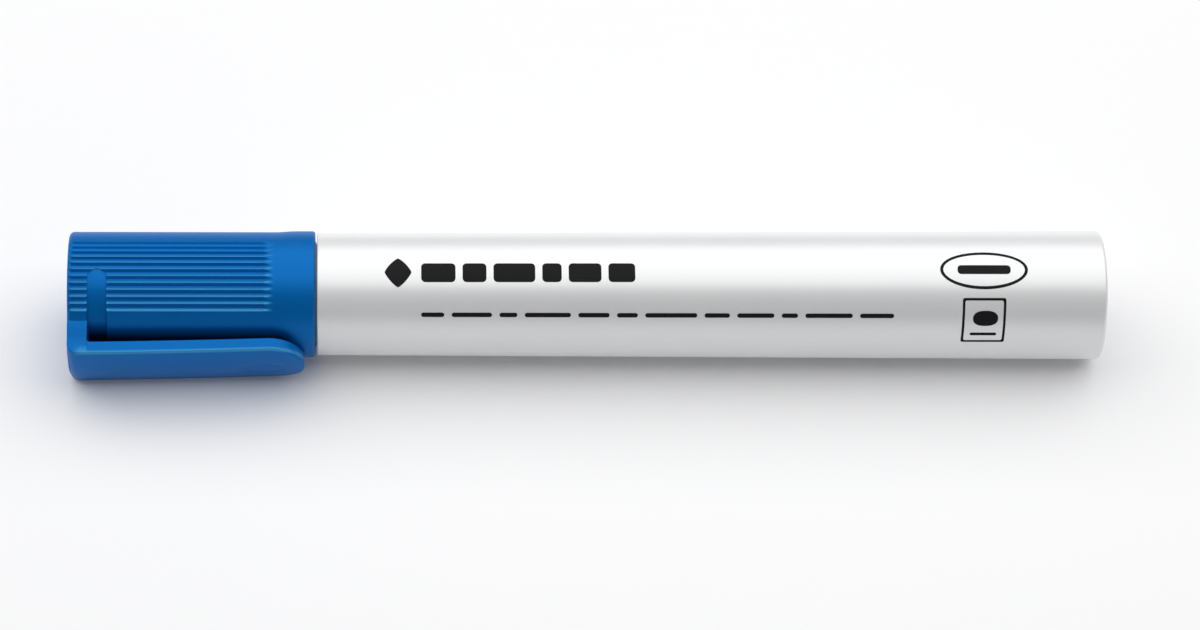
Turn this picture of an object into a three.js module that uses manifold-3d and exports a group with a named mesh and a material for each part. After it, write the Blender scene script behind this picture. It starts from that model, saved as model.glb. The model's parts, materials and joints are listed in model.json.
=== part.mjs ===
// A capped whiteboard marker with a bullet nib, lying on a flat surface with its clip edge down.
// Millimetres, +Z up, the marker's axis along X, the cap at -X and the rear end at +X.
// Inside the marker group x runs from the closed end of the cap, the clip points along -Y, and the
// group is rolled about its axis until the clip's edge meets the surface.
import * as THREE from "three";
import { mergeVertices } from "three/addons/utils/BufferGeometryUtils.js";
import Module from "manifold-3d";

const wasm = await Module();
wasm.setup();

// Driving dimensions.
const overallLength = 140;
const roundSteps = 48; // sides of every turned piece, so that mating facets line up
const seatGap = 0.1; // between pieces that are pressed or laid together
const slideGap = 0.25; // between pieces that move past each other

const cap = {
  length: 33.1,
  radius: 8.38,
  collarRise: 0.14, // the collar's radius above the body's
  collarBlend: 5.4, // back from the mouth: where the collar begins to swell, and its full size
  collarStart: 2.6,
  endWall: 1.5,
  endRound: 0.7,
  mouthRound: 0.4,
  mouthWall: 1.1,
  bodyWall: 1.1, // behind the bottom of the flutes
  mouthDepth: 10.2, // how far the wide mouth bore reaches in
  bodyDraft: 0.1,
  snapDepth: 6.2, // the snap groove, in from the mouth
};
// The flutes on each side, their pitch in degrees, ending short of the mouth.
const flute = { count: 11, pitch: 6.55, width: 0.85, depth: 0.25, mouthGap: 5.7 };
const slot = { width: 2.65, depth: 0.5, reach: 84 }; // recess behind the clip, degrees each way
const clip = {
  width: 10.9,
  mouthGap: 1.4, // the tip stops short of the cap's mouth
  rootLength: 2.85,
  lift: 1.99, // outer long edges at the root, above the cap
  tipDrop: 0.7, // how much nearer the axis they are at the tip
  crown: 0.88, // how far the outer face is arched above its edges
  innerCrown: 0.73,
  edge: 1.5, // thickness along the long edges
  cornerRound: 1.2,
  tipRound: 5,
  landDepth: 0.5, // flat on the cap under the clip
  hingeGap: 0.3,
};
const snap = { width: 1.2, height: 0.15, clearance: 0.15 }; // ring bead and the groove round it

const barrel = {
  frontStep: 0.12, // the barrel's front below the cap's body
  taper: 0.51, // how much the radius grows towards the rear
  wall: 1.3,
  frontChamfer: 0.25,
  rearRound: 0.6,
  capGap: 0.25, // between the cap's mouth and the barrel's shoulder
  ribCount: 6,
  ribWidth: 0.8,
  ribClearance: 0.3,
  ribInset: 1, // how far the ribs keep from the pieces pressed in at both ends
};
const holder = {
  spigotLength: 10,
  spigotWall: 0.8,
  coneStart: 13.4, // distances forward from the barrel's shoulder
  coneEnd: 9.4,
  snoutLength: 5.5,
  snoutRadius: 4.1,
  edgeChamfer: 0.6,
  shellWall: 1.1,
  guideWall: 0.9,
  guideLength: 4, // how far the nib guide reaches behind the shoulder
  ventWidth: 0.8,
  ventDepth: 0.45,
  ventCount: 3,
};
const nib = { radius: 2.5, reach: 6.5, pointLength: 3.1, length: 34, tailChamfer: 0.4 };
const sealCup = {
  wall: 0.8,
  floor: 1.2,
  mouthGap: 0.75, // between the cup's mouth and the start of the holder's cone
  flangeLength: 1.4,
  lipHeight: 0.1,
  lipWidth: 1.2,
};
const reservoir = { clearance: 0.3, rearGap: 3.2, socketGap: 0.15 };
const sleeve = { thickness: 0.15, inset: 1 };
const plug = { depth: 8, wall: 1, faceWall: 1.6, postWidth: 1, edgeChamfer: 0.2 };

// Sizes that follow from them.
const shoulder = cap.length + barrel.capGap; // the barrel's front face
const collarRadius = cap.radius + cap.collarRise;
const capMouthBore = collarRadius - cap.mouthWall;
const capBore = cap.radius - flute.depth - cap.bodyWall;
const capSnapX = cap.length - cap.snapDepth;
const shoulderRadius = capMouthBore - slideGap;
const frontRadius = cap.radius - barrel.frontStep;
const rearRadius = frontRadius + barrel.taper;
const frontBore = frontRadius - barrel.wall;
const rearBore = rearRadius - barrel.wall;
const spigotRadius = frontBore - seatGap;
const chamberRadius = spigotRadius - holder.spigotWall;
const holderSnapX = shoulder + holder.spigotLength / 2;
const coneStartX = shoulder - holder.coneStart;
const coneEndX = shoulder - holder.coneEnd;
const guideEndX = shoulder + holder.guideLength;
const snoutTip = coneStartX - holder.snoutLength;
const nibBore = nib.radius + seatGap;
const nibTip = snoutTip - nib.reach;
const nibTail = nibTip + nib.length;
const guideRadius = nibBore + holder.guideWall;
const cupBore = holder.snoutRadius + slideGap + sealCup.lipHeight;
const cupRadius = cupBore + sealCup.wall;
const cupFront = cap.endWall + seatGap;
const cupMouth = coneStartX - sealCup.mouthGap;
const plugStart = overallLength - plug.depth;
const plugSnapX = overallLength - plug.depth / 2;
const reservoirFront = guideEndX + 2 * seatGap;
const reservoirRear = plugStart - reservoir.rearGap;
const reservoirRadius = chamberRadius - reservoir.clearance;
const sleeveBore = reservoirRadius + seatGap / 2;
const sleeveRadius = sleeveBore + sleeve.thickness;
const halfWidth = clip.width / 2;
const clipEnd = cap.length - clip.mouthGap;
const rootHeight = cap.radius + clip.lift;
const clipSlope = Math.atan2(clip.tipDrop, clipEnd - clip.rootLength);

// The marker lies on the rear end of its barrel and on the lower outer edge of its clip.
const axisHeight = rearRadius;
const edgeReach = Math.hypot(rootHeight, halfWidth);
const lieAngle = Math.asin(axisHeight / edgeReach) - Math.atan2(halfWidth, rootHeight);
const clipSide = rootHeight * Math.cos(lieAngle) + halfWidth * Math.sin(lieAngle);
const axisOffset = (clipSide - rearRadius) / 2;

// Solids.
function toSolid(geometry) {
  const bare = geometry.index ? geometry.toNonIndexed() : geometry.clone();
  bare.deleteAttribute("normal");
  bare.deleteAttribute("uv");
  const merged = mergeVertices(bare, 1e-4);
  return new wasm.Manifold(
    new wasm.Mesh({
      numProp: 3,
      vertProperties: merged.attributes.position.array,
      triVerts: new Uint32Array(merged.index.array),
    }),
  );
}

function toGeometry(solid) {
  const mesh = solid.getMesh();
  const position = new Float32Array(mesh.numVert * 3);
  for (let i = 0; i < mesh.numVert; i++) {
    const at = i * mesh.numProp;
    position.set(mesh.vertProperties.subarray(at, at + 3), i * 3);
  }
  const geometry = new THREE.BufferGeometry();
  geometry.setAttribute("position", new THREE.BufferAttribute(position, 3));
  geometry.setIndex(new THREE.BufferAttribute(mesh.triVerts, 1));
  geometry.computeVertexNormals();
  return geometry;
}

// A piece turned about the marker's axis from [x, radius] pairs. The profile starts and ends on the
// axis, or closes on itself. It runs with the outside towards +X and the inside back.
function turned(profile) {
  const points = profile.map(([x, radius]) => new THREE.Vector2(radius, x));
  if (points[0].x > 0) points.push(points[0].clone());
  return toSolid(new THREE.LatheGeometry(points, roundSteps).rotateZ(-Math.PI / 2));
}

// Points on a round between two directions, ends included.
function rounded(centreX, centreRadius, radius, fromDegrees, toDegrees, steps) {
  const points = [];
  for (let i = 0; i <= steps; i++) {
    const angle = THREE.MathUtils.degToRad(fromDegrees + ((toDegrees - fromDegrees) * i) / steps);
    points.push([centreX + radius * Math.cos(angle), centreRadius + radius * Math.sin(angle)]);
  }
  return points;
}

// Points of a ring bead, or of a groove with a negative rise, towards +X.
function ringStep(centreX, radius, rise, width) {
  const half = width / 2;
  return [
    [centreX - half, radius],
    [centreX - half / 2, radius + rise],
    [centreX + half / 2, radius + rise],
    [centreX + half, radius],
  ];
}

// The groove that clears a ring bead, on a bore that runs back towards -X.
function snapGroove(centreX, bore) {
  const depth = snap.height + snap.clearance;
  return ringStep(centreX, bore, depth, snap.width + 2 * snap.clearance).reverse();
}

function block(x0, x1, y0, y1, z0, z1) {
  const box = new THREE.BoxGeometry(x1 - x0, y1 - y0, z1 - z0);
  return toSolid(box.translate((x0 + x1) / 2, (y0 + y1) / 2, (z0 + z1) / 2));
}

// Copies of a solid spaced evenly about the marker's axis.
function aroundAxis(solid, count) {
  const copies = [];
  for (let i = 0; i < count; i++) copies.push(solid.rotate([(360 * i) / count, 0, 0]));
  return wasm.Manifold.union(copies);
}

// A closed outline of Vector2, extruded along X. The outline's first axis is Z, its second Y.
function alongX(outline, length) {
  const options = { depth: length, bevelEnabled: false };
  const prism = new THREE.ExtrudeGeometry(new THREE.Shape(outline), options);
  return prism.rotateY(Math.PI / 2);
}

// The cap.
function capOutside() {
  const { length, radius, endRound, mouthRound } = cap;
  return turned([
    [0, 0],
    ...rounded(endRound, radius - endRound, endRound, 180, 90, 4),
    [length - cap.collarBlend, radius],
    [length - cap.collarStart, collarRadius],
    ...rounded(length - mouthRound, collarRadius - mouthRound, mouthRound, 90, 0, 3),
    [length, 0],
  ]);
}

function capHollow() {
  const stepX = cap.length - cap.mouthDepth;
  return turned([
    [cap.endWall, 0],
    [cap.endWall, capBore - cap.bodyDraft],
    [stepX - 0.5, capBore],
    [stepX, capMouthBore],
    ...ringStep(capSnapX, capMouthBore, snap.clearance, snap.width + 2 * snap.clearance),
    [cap.length - cap.mouthRound, capMouthBore],
    [cap.length, capMouthBore + cap.mouthRound / 2],
    [cap.length + 1, capMouthBore + cap.mouthRound / 2],
    [cap.length + 1, 0],
  ]);
}

// Straight grooves on both sides of the cap, from the closed end until they run out at the collar.
function flutes() {
  const over = 1; // clear of the surface
  const reach = ((flute.width / 2) * (over + flute.depth)) / flute.depth;
  const outline = [
    new THREE.Vector2(-reach, -over),
    new THREE.Vector2(reach, -over),
    new THREE.Vector2(0, flute.depth),
  ];
  const length = cap.length - flute.mouthGap + over;
  const groove = toSolid(alongX(outline, length).translate(-over, -cap.radius, 0));
  const all = [];
  for (const side of [90, -90]) {
    for (let i = 0; i < flute.count; i++) {
      const angle = side + (i - (flute.count - 1) / 2) * flute.pitch;
      all.push(groove.rotate([angle, 0, 0]));
    }
  }
  return wasm.Manifold.union(all);
}

// The recess behind the clip: a band round the clip's side of the cap, with a round end each way.
function slotRecess() {
  const start = clip.rootLength;
  const floor = cap.radius - slot.depth;
  const outer = cap.radius + 1;
  const ring = turned([
    [start, floor],
    [start, outer],
    [start + slot.width, outer],
    [start + slot.width, floor],
  ]);
  const edge = cap.radius * Math.cos(THREE.MathUtils.degToRad(slot.reach));
  const band = ring.intersect(block(-1, cap.length, -outer - 1, -edge, -outer - 1, outer + 1));
  const round = new THREE.CylinderGeometry(slot.width / 2, slot.width / 2, outer - floor, 24);
  const end = toSolid(round.translate(start + slot.width / 2, -(outer + floor) / 2, 0));
  return wasm.Manifold.union([
    band,
    end.rotate([slot.reach, 0, 0]),
    end.rotate([-slot.reach, 0, 0]),
  ]);
}

// An arched face across the clip: heights over the width, as Vector2(z, y) with the clip along -Y.
function arch(edgeHeight, rise, steps) {
  const radius = (halfWidth * halfWidth + rise * rise) / (2 * rise);
  const spread = Math.asin(halfWidth / radius);
  const points = [];
  for (let i = 0; i <= steps; i++) {
    const angle = spread * ((2 * i) / steps - 1);
    const height = edgeHeight + rise - radius * (1 - Math.cos(angle));
    points.push(new THREE.Vector2(radius * Math.sin(angle), -height));
  }
  return points;
}

function clipRoot() {
  const { rootLength, cornerRound } = clip;
  const low = Math.sqrt(cap.radius ** 2 - halfWidth ** 2) - 0.3; // inside the shell at the root's sides
  const top = rootHeight + clip.crown;
  const corner = rounded(cornerRound, top - cornerRound, cornerRound, 180, 90, 6);
  const side = [[0, low], ...corner, [rootLength, top], [rootLength, low]];
  const shape = new THREE.Shape(side.map(([x, height]) => new THREE.Vector2(x, -height)));
  const depth = clip.width + 2;
  const slab = new THREE.ExtrudeGeometry(shape, { depth, bevelEnabled: false }).translate(0, 0, -depth / 2);
  const outline = [
    new THREE.Vector2(halfWidth, -low),
    new THREE.Vector2(-halfWidth, -low),
    ...arch(rootHeight, clip.crown, 10),
  ];
  const prism = alongX(outline, rootLength + 2).translate(-1, 0, 0);
  return toSolid(slab).intersect(toSolid(prism));
}

function capShell() {
  const landHeight = cap.radius - clip.landDepth;
  const landEnd = cap.length - cap.collarBlend;
  const land = block(clip.rootLength, landEnd, -cap.radius - 1, -landHeight, -halfWidth, halfWidth);
  return capOutside()
    .subtract(flutes())
    .subtract(slotRecess())
    .subtract(land)
    .add(clipRoot())
    .subtract(capHollow());
}

function pocketClip() {
  const start = clip.rootLength + clip.hingeGap;
  const tipStart = clipEnd - clip.tipRound;
  const plan = new THREE.Shape();
  plan.moveTo(start, -halfWidth);
  plan.lineTo(tipStart, -halfWidth);
  plan.absellipse(tipStart, 0, clip.tipRound, halfWidth, -Math.PI / 2, Math.PI / 2, false, 0);
  plan.lineTo(start, halfWidth);
  plan.closePath();
  const options = { depth: 20, bevelEnabled: false, curveSegments: 16 };
  const planPrism = new THREE.ExtrudeGeometry(plan, options).rotateX(Math.PI / 2);
  const innerHeight = rootHeight - clip.edge;
  const outline = [
    ...arch(rootHeight, clip.crown, 12),
    ...arch(innerHeight, clip.innerCrown, 12).reverse(),
  ];
  const band = alongX(outline, clipEnd + 5);
  band.translate(-clip.rootLength, rootHeight, 0).rotateZ(clipSlope);
  band.translate(clip.rootLength, -rootHeight, 0);
  return toSolid(band).intersect(toSolid(planPrism));
}

function sealingCup() {
  const flange = capBore - cap.bodyDraft - seatGap;
  const flangeX = cupMouth - sealCup.flangeLength;
  const lipX = cupMouth - sealCup.lipWidth;
  const round = 0.6;
  return turned([
    [cupFront, 0],
    [cupFront, cupRadius - round],
    [cupFront + round, cupRadius],
    [flangeX, cupRadius],
    [flangeX, flange],
    [cupMouth, flange],
    [cupMouth, cupBore + 0.2],
    ...ringStep(lipX, cupBore, -sealCup.lipHeight, sealCup.lipWidth).reverse(),
    [cupFront + sealCup.floor, cupBore],
    [cupFront + sealCup.floor, 0],
  ]);
}

// The barrel.
function barrelTube() {
  const { frontChamfer, rearRound } = barrel;
  const tube = turned([
    [shoulder, frontBore],
    [shoulder, frontRadius - frontChamfer],
    [shoulder + frontChamfer, frontRadius],
    ...rounded(overallLength - rearRound, rearRadius - rearRound, rearRound, 90, 0, 4),
    [overallLength, rearBore],
    ...snapGroove(plugSnapX, rearBore),
    [plugStart - 1, rearBore],
    [shoulder + holder.spigotLength, frontBore],
    ...snapGroove(holderSnapX, frontBore),
  ]);
  const ribStart = shoulder + holder.spigotLength + barrel.ribInset;
  const ribEnd = plugStart - barrel.ribInset;
  const low = sleeveRadius + barrel.ribClearance;
  const half = barrel.ribWidth / 2;
  const rib = block(ribStart, ribEnd, low, frontBore + barrel.wall / 2, -half, half);
  return tube.add(aroundAxis(rib, barrel.ribCount));
}

function rearPlug() {
  const radius = rearBore - seatGap;
  const faceX = overallLength - plug.faceWall;
  const cup = turned([
    [faceX, 0],
    [faceX, radius - plug.wall],
    [plugStart, radius - plug.wall],
    [plugStart, radius - plug.edgeChamfer],
    [plugStart + 3 * plug.edgeChamfer, radius],
    ...ringStep(plugSnapX, radius, snap.height, snap.width),
    [overallLength - plug.edgeChamfer, radius],
    [overallLength, radius - plug.edgeChamfer],
    [overallLength, 0],
  ]);
  // A cross-shaped post keeps the reservoir from sliding back.
  const reach = reservoirRadius - 0.5;
  const half = plug.postWidth / 2;
  const fin = block(reservoirRear + 2 * seatGap, faceX + plug.faceWall / 2, -reach, reach, -half, half);
  return cup.add(fin).add(fin.rotate([90, 0, 0]));
}

// The writing end.
function nibHolder() {
  const rear = shoulder + holder.spigotLength;
  const faceX = shoulder - seatGap;
  const chamfer = holder.edgeChamfer;
  const body = turned([
    [snoutTip, nibBore],
    [snoutTip, holder.snoutRadius - chamfer],
    [snoutTip + chamfer, holder.snoutRadius],
    [coneStartX, holder.snoutRadius],
    [coneEndX, shoulderRadius],
    ...ringStep(capSnapX, shoulderRadius, snap.height, snap.width),
    [faceX, shoulderRadius],
    [faceX, spigotRadius],
    ...ringStep(holderSnapX, spigotRadius, snap.height, snap.width),
    [rear - chamfer, spigotRadius],
    [rear, spigotRadius - chamfer / 2],
    [rear, chamberRadius],
    [coneEndX + holder.shellWall, chamberRadius],
    [coneStartX + holder.shellWall, guideRadius],
    [guideEndX, guideRadius],
    [guideEndX, nibBore],
  ]);
  const half = holder.ventWidth / 2;
  const vent = block(snoutTip - 1, coneStartX, 0, nibBore + holder.ventDepth, -half, half);
  return body.subtract(aroundAxis(vent, holder.ventCount));
}

function bulletNib() {
  const point = [];
  const steps = 8;
  for (let i = 0; i <= steps; i++) {
    const angle = ((Math.PI / 2) * i) / steps;
    const x = nibTip + nib.pointLength * (1 - Math.cos(angle));
    point.push([x, i === 0 ? 0 : nib.radius * Math.sin(angle)]);
  }
  return turned([
    ...point,
    [nibTail - nib.tailChamfer, nib.radius],
    [nibTail, nib.radius - nib.tailChamfer],
    [nibTail, 0],
  ]);
}

// The ink supply.
function inkReservoir() {
  const socketRadius = nib.radius + reservoir.socketGap;
  const socketEnd = nibTail + reservoir.socketGap;
  return turned([
    [socketEnd, 0],
    [socketEnd, socketRadius],
    [reservoirFront, socketRadius],
    [reservoirFront, reservoirRadius],
    [reservoirRear, reservoirRadius],
    [reservoirRear, 0],
  ]);
}

function reservoirSleeve() {
  const front = reservoirFront + sleeve.inset;
  const rear = reservoirRear - sleeve.inset;
  return turned([
    [front, sleeveBore],
    [front, sleeveRadius],
    [rear, sleeveRadius],
    [rear, sleeveBore],
  ]);
}

// Materials.
function plastic(color, roughness) {
  return new THREE.MeshStandardMaterial({ color, roughness, metalness: 0 });
}

// The assembly.
const pieces = [
  ["cap_shell", capShell, plastic(0x0a55a0, 0.42)],
  ["pocket_clip", pocketClip, plastic(0x0a55a0, 0.42)],
  ["seal_cup", sealingCup, plastic(0xe8eaec, 0.5)],
  ["barrel", barrelTube, plastic(0xd9dadb, 0.35)],
  ["rear_plug", rearPlug, plastic(0xd9dadb, 0.4)],
  ["nib_holder", nibHolder, plastic(0xcfd1d2, 0.45)],
  ["nib", bulletNib, plastic(0x1c3f8f, 0.95)],
  ["ink_reservoir", inkReservoir, plastic(0x23479c, 1)],
  ["reservoir_sleeve", reservoirSleeve, plastic(0xc9d4e6, 0.25)],
];

const marker = new THREE.Group();
for (const [name, make, material] of pieces) {
  const mesh = new THREE.Mesh(toGeometry(make()), material);
  mesh.name = name;
  marker.add(mesh);
}
marker.rotation.x = lieAngle;
marker.position.set(-overallLength / 2, axisOffset, axisHeight);

const model = new THREE.Group();
model.add(marker);

export default model;
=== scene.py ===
import json
import math

import bmesh
import bpy
import numpy as np
from mathutils import Matrix, Vector


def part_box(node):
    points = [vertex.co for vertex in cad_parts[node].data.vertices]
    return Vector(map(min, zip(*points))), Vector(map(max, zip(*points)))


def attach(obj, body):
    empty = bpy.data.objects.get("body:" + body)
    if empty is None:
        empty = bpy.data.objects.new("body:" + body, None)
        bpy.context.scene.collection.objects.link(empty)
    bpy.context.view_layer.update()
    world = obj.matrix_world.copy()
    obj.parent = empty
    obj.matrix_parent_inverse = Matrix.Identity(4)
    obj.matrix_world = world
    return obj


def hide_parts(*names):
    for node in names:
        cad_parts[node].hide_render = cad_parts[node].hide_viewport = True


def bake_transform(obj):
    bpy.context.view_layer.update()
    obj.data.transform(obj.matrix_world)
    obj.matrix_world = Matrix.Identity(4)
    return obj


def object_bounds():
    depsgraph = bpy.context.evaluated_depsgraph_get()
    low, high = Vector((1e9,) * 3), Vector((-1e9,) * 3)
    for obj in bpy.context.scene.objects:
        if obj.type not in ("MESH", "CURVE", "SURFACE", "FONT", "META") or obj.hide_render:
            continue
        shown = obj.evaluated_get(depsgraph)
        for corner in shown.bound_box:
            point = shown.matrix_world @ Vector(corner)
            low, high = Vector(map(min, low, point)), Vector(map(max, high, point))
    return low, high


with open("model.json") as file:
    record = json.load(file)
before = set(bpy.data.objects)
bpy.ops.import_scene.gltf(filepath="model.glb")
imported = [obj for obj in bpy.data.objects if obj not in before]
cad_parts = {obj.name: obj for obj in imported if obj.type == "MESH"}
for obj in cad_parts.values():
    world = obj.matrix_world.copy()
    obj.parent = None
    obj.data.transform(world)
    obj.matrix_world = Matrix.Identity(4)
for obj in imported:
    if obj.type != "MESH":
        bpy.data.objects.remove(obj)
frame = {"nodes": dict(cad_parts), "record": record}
cadLow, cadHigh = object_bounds()

# Sizes in the dictionaries are millimetres; u runs along the marker from the closed end of the cap.
mm = 0.001
barrelLow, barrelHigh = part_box("barrel")
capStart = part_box("cap_shell")[0].x
axisY = (barrelLow.y + barrelHigh.y) / 2
axisZ = (barrelLow.z + barrelHigh.z) / 2
flexAxis = [j for j in frame["record"]["behaviour"]["joints"] if j["name"] == "clip_flex"][0]["axis"]
roll = math.atan2(flexAxis[1], -flexAxis[2])  # how far below level the clip points


def spanOf(node):
    # lowest and highest u of a CAD node
    low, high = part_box(node)
    return (low.x - capStart) / mm, (high.x - capStart) / mm


mouthU = spanOf("cap_shell")[1]
frontU, rearU = spanOf("barrel")
rearRadius = (barrelHigh.y - barrelLow.y) / 2 / mm
print("frame: marker", round(rearU, 2), "mm long, clip", round(math.degrees(roll), 2), "degrees below level")


def place(u, towards, across):
    # point = start of the axis + u along it + 'towards' in the clip's direction + 'across' square to both
    y = axisY - (towards * math.cos(roll) + across * math.sin(roll)) * mm
    z = axisZ + (across * math.cos(roll) - towards * math.sin(roll)) * mm
    x = capStart + u * mm
    return np.stack(np.broadcast_arrays(x, y, z), axis=-1)


def placeRound(u, radius, angle):
    # the same point in polar form, with the angle counted round the axis from the clip
    return place(u, radius * np.cos(angle), radius * np.sin(angle))


def smooth(edge0, edge1, x):
    # 3t^2 - 2t^3 with t the clamped place of x between the edges
    t = np.clip((x - edge0) / (edge1 - edge0), 0, 1)
    return t * t * (3 - 2 * t)


def arc(cu, cr, radius, start, end, steps):
    # (u, r) points on a circle about (cu, cr), angles in degrees
    t = np.radians(np.linspace(start, end, steps + 1))
    return np.stack([cu + radius * np.cos(t), cr + radius * np.sin(t)], axis=-1)


def profile(*pieces):
    # rows of (u, r) stacked in order
    return np.vstack([np.atleast_2d(np.array(p, float)) for p in pieces])


def ringMesh(grid, startPole=None, endPole=None, loop=False):
    # quads between neighbouring rings of grid[ring, step]; a pole closes an end with a fan, and loop joins
    # the last ring to the first
    rings, steps = grid.shape[:2]
    ids = np.arange(rings * steps).reshape(rings, steps)
    beside = np.roll(ids, -1, axis=1)
    corners = np.stack([ids, beside, np.roll(beside, -1, axis=0), np.roll(ids, -1, axis=0)], axis=-1)
    quads = (corners if loop else corners[:-1]).reshape(-1, 4)
    verts = [grid.reshape(-1, 3)]
    tris = []
    count = rings * steps
    if startPole is not None:
        verts.append(np.reshape(startPole, (1, 3)))
        tris.append(np.stack([np.full(steps, count), beside[0], ids[0]], axis=-1))
        count += 1
    if endPole is not None:
        verts.append(np.reshape(endPole, (1, 3)))
        tris.append(np.stack([np.full(steps, count), ids[-1], beside[-1]], axis=-1))
    tris = np.vstack(tris) if tris else np.zeros((0, 3), int)
    return np.vstack(verts), quads, tris


def volumeOf(part):
    # sum of v0 . (v1 x v2) / 6 over the triangles
    verts, quads, tris = part
    flat = np.vstack([quads[:, [0, 1, 2]], quads[:, [0, 2, 3]], tris])
    a, b, c = verts[flat[:, 0]], verts[flat[:, 1]], verts[flat[:, 2]]
    return float(np.einsum("ij,ij->i", a, np.cross(b, c)).sum() / 6)


def outward(part):
    # faces turned round when the shell's volume comes out negative
    verts, quads, tris = part
    centred = (verts - verts.mean(0), quads, tris)
    return part if volumeOf(centred) > 0 else (verts, quads[:, ::-1], tris[:, ::-1])


def turned(rows, steps):
    # every (u, r) row swept round the axis; rows from r = 0 to r = 0 close on poles, others on themselves
    onAxis = rows[0, 1] == 0
    body = rows[1:-1] if onAxis else rows
    angle = np.linspace(0, 2 * math.pi, steps, endpoint=False)
    grid = placeRound(body[:, :1], body[:, 1:], angle[None, :])
    if not onAxis:
        return outward(ringMesh(grid, loop=True))
    return outward(ringMesh(grid, place(rows[0, 0], 0, 0), place(rows[-1, 0], 0, 0)))


def makePiece(name, parts, material, sharp=40, weld=False):
    # one mesh object from closed shells of (verts, quads, tris), smooth up to 'sharp' degrees
    verts, faces, base = [], [], 0
    for v, q, t in parts:
        verts.append(v)
        faces += (q + base).tolist() + (t + base).tolist()
        base += len(v)
    mesh = bpy.data.meshes.new(name)
    mesh.from_pydata(np.vstack(verts).tolist(), [], faces)
    if weld:
        work = bmesh.new()
        work.from_mesh(mesh)
        bmesh.ops.remove_doubles(work, verts=work.verts, dist=1e-6)
        bmesh.ops.dissolve_degenerate(work, edges=work.edges, dist=1e-7)
        bmesh.ops.recalc_face_normals(work, faces=work.faces)
        work.to_mesh(mesh)
        work.free()
    mesh.validate()
    mesh.shade_smooth()
    mesh.set_sharp_from_angle(angle=math.radians(sharp))
    mesh.materials.append(material)
    obj = bpy.data.objects.new(name, mesh)
    bpy.context.scene.collection.objects.link(obj)
    print("piece", name, len(mesh.polygons), "faces")
    return obj


def settle(obj, body, slotName, *nodes):
    # rides the body and stands for the CAD nodes
    if body:
        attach(obj, body)
    if nodes:
        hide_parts(*nodes)


def newGroup(name, inputs, outputs):
    tree = bpy.data.node_groups.new(name, "ShaderNodeTree")
    for label, kind, value in inputs:
        made = tree.interface.new_socket(name=label, in_out="INPUT", socket_type=kind)
        if value is not None:
            made.default_value = value
    for label, kind in outputs:
        tree.interface.new_socket(name=label, in_out="OUTPUT", socket_type=kind)
    return tree, tree.nodes.new("NodeGroupInput"), tree.nodes.new("NodeGroupOutput")


def addNode(tree, kind, links=(), **values):
    # links are (output socket, input name or index); values set the node's own properties
    made = tree.nodes.new(kind)
    for key, value in values.items():
        setattr(made, key, value)
    for source, target in links:
        if hasattr(source, "is_linked"):
            tree.links.new(source, made.inputs[target])
        else:
            made.inputs[target].default_value = source
    return made


def mathNode(tree, operation, a, b=None, c=None, clamp=False):
    links = [(v, i) for i, v in enumerate((a, b, c)) if v is not None]
    return addNode(tree, "ShaderNodeMath", links, operation=operation, use_clamp=clamp).outputs[0]


def noiseNode(tree, vector, scale, detail, roughness=0.5, distortion=0.0):
    links = [(vector, "Vector"), (scale, "Scale"), (detail, "Detail"), (roughness, "Roughness"),
             (distortion, "Distortion")]
    return addNode(tree, "ShaderNodeTexNoise", links).outputs[0]


def mixColor(tree, share, under, over):
    return addNode(tree, "ShaderNodeMix", [(share, 0), (under, 6), (over, 7)], data_type="RGBA").outputs[2]


def mouldedSkin():
    # orange peel and flow clouds of moulded plastic: height = peel noise + faint clouds, cloud = low noise
    tree, given, out = newGroup(
        "mouldedSkin",
        [("Vector", "NodeSocketVector", None), ("Peel Scale", "NodeSocketFloat", 2600.0),
         ("Cloud Scale", "NodeSocketFloat", 90.0), ("Cloud Weight", "NodeSocketFloat", 0.4)],
        [("Height", "NodeSocketFloat"), ("Cloud", "NodeSocketFloat")])
    peel = noiseNode(tree, given.outputs["Vector"], given.outputs["Peel Scale"], 3.0, roughness=0.55)
    cloud = noiseNode(tree, given.outputs["Vector"], given.outputs["Cloud Scale"], 4.0)
    height = mathNode(tree, "ADD", peel, mathNode(tree, "MULTIPLY", cloud, given.outputs["Cloud Weight"]))
    tree.links.new(height, out.inputs["Height"])
    tree.links.new(cloud, out.inputs["Cloud"])
    return tree


def handlingWear():
    # hairline scuffs: thin lines where a stretched noise crosses its middle value, broken by a second noise
    tree, given, out = newGroup(
        "handlingWear",
        [("Vector", "NodeSocketVector", None), ("Scale", "NodeSocketFloat", 300.0),
         ("Width", "NodeSocketFloat", 0.012), ("Amount", "NodeSocketFloat", 0.5)],
        [("Scuff", "NodeSocketFloat")])
    angled = addNode(tree, "ShaderNodeMapping", [(given.outputs["Vector"], "Vector"),
                     ((0.3, 0.5, 0.9), "Rotation"), ((0.12, 1.0, 1.0), "Scale")])
    lines = noiseNode(tree, angled.outputs[0], given.outputs["Scale"], 1.0, distortion=0.4)
    offset = mathNode(tree, "ABSOLUTE", mathNode(tree, "SUBTRACT", lines, 0.5))
    thin = mathNode(tree, "DIVIDE", offset, given.outputs["Width"])
    line = mathNode(tree, "SUBTRACT", 1.0, thin, clamp=True)
    patches = noiseNode(tree, given.outputs["Vector"], 140.0, 2.0)
    above = mathNode(tree, "SUBTRACT", patches, 0.5, clamp=True)
    where = mathNode(tree, "MULTIPLY", above, 5.0, clamp=True)
    scuff = mathNode(tree, "MULTIPLY", mathNode(tree, "MULTIPLY", line, where), given.outputs["Amount"])
    tree.links.new(scuff, out.inputs["Scuff"])
    return tree


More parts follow.
